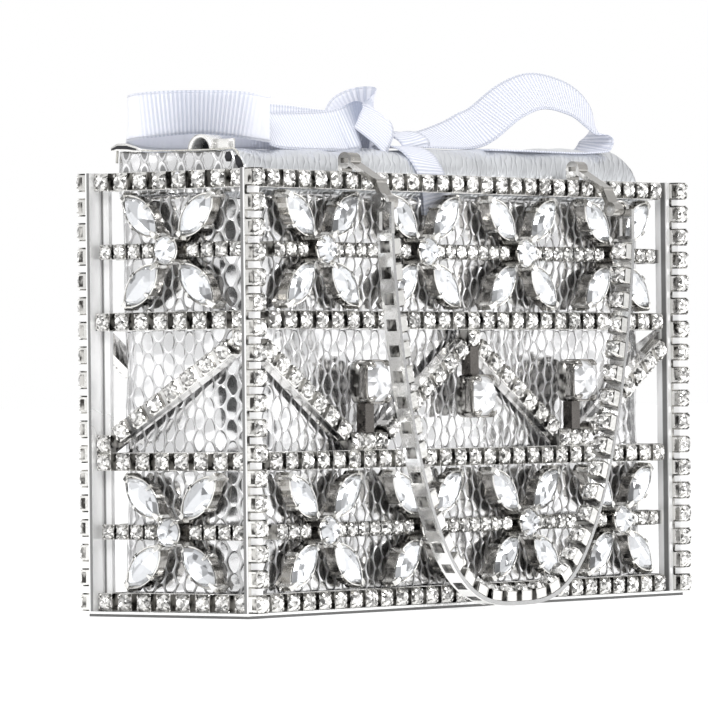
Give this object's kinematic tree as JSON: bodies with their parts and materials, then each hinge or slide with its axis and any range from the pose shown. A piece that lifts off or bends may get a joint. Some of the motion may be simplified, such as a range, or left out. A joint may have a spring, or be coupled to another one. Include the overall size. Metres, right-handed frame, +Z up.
{
  "type": "minaudiere",
  "caption": "Small evening bag: a soft metallic pouch with a ribbon bow inside an open cage of flat bars set with stones, with a swinging handle.",
  "frame": {"origin": "centre of the base plate's underside", "axes": "+X along the cage's width, -Y out of the front where the handle hangs, +Z up"},
  "size_m": [0.1804, 0.0673, 0.1331],
  "materials": {
    "base": "dark plated",
    "plated_bars": "bright plated",
    "cups": "bright plated",
    "stones": "faceted, foiled behind",
    "dark_stems": "darkened plating",
    "pins": "plated",
    "snake_leather": "mirror foil with printed scales",
    "lining": "satin",
    "ribbon": "ribbed grosgrain"
  },
  "bodies": {
    "cage": {"base_plate": "base", "post_front_left": "plated_bars", "post_front_right": "plated_bars", "post_back_left": "plated_bars", "post_back_right": "plated_bars", "front_bottom_rail": "plated_bars", "front_lower_rail": "plated_bars", "front_upper_rail": "plated_bars", "front_top_rail": "plated_bars", "back_bottom_rail": "plated_bars", "back_lower_rail": "plated_bars", "back_upper_rail": "plated_bars", "back_top_rail": "plated_bars", "left_rails": "plated_bars", "right_rails": "plated_bars", "front_flower_rails": "plated_bars", "back_flower_rails": "plated_bars", "side_flower_rails": "plated_bars", "front_zigzag": "plated_bars", "back_zigzag": "plated_bars", "side_diagonals": "plated_bars", "petal_stays": "plated_bars", "front_row_cups": "cups", "back_row_cups": "cups", "side_row_cups": "cups", "post_cups": "cups", "zigzag_cups": "cups", "diagonal_cups": "cups", "front_row_stones": "stones", "back_row_stones": "stones", "side_row_stones": "stones", "post_stones": "stones", "zigzag_stones": "stones", "diagonal_stones": "stones", "petal_cups": "cups", "petal_stones": "stones", "flower_eye_cups": "cups", "flower_eye_stones": "stones", "drop_cups": "cups", "drop_stones": "stones", "drop_stems": "dark_stems", "hinge_brackets": "plated_bars", "hinge_pins": "pins"},
    "handle": {"handle_band": "plated_bars", "handle_ends": "plated_bars", "handle_cups": "cups", "handle_stones": "stones"},
    "pouch": {"pouch_shell": "snake_leather", "pouch_lining": "lining", "pouch_top": "snake_leather", "pouch_keeper": "snake_leather", "ribbon_knot": "ribbon", "ribbon_left_loop": "ribbon", "ribbon_right_loop": "ribbon", "ribbon_tail": "ribbon"}
  },
  "joints": [
    {"name": "handle_hinge", "type": "hinge", "parent": "cage", "child": "handle", "pos_m": [0, -0.034, 0.0978], "axis": [-1, 0, 0], "range_deg": [0, 180]},
    {"name": "pouch_slide", "type": "slide", "parent": "cage", "child": "pouch", "axis": [0, 0, 1], "range_m": [0, 0.115]}
  ]
}
